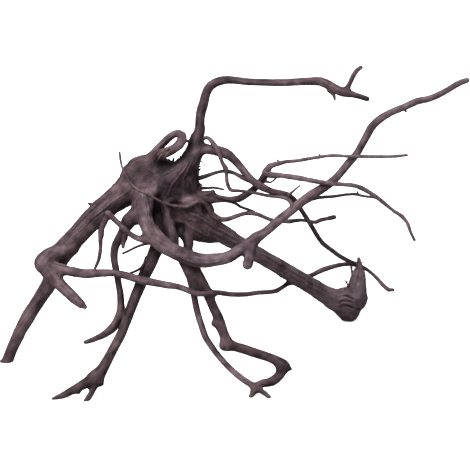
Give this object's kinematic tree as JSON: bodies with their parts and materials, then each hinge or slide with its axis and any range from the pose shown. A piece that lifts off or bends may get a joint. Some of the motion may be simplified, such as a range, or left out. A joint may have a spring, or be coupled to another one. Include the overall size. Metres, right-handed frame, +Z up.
{
  "type": "spiderwood root",
  "caption": "Dried spiderwood root: gnarled crown, leaning trunk, great bowed limb, burl-ended limb and long thin curling rootlets, resting on its low points.",
  "frame": {"origin": "on the floor, under the middle of the bounding box", "axes": "+Z up; +X from the cut trunk end towards the tip of the great bowed limb; +Y away from the viewer, towards the burl"},
  "size_m": [0.4682, 0.2468, 0.317],
  "materials": {
    "root_wood": "dry washed bark-free root wood, matt, dark purple-brown with paler worn ridges"
  },
  "bodies": {
    "root": {"spiderwood_root": "root_wood"}
  },
  "joints": []
}
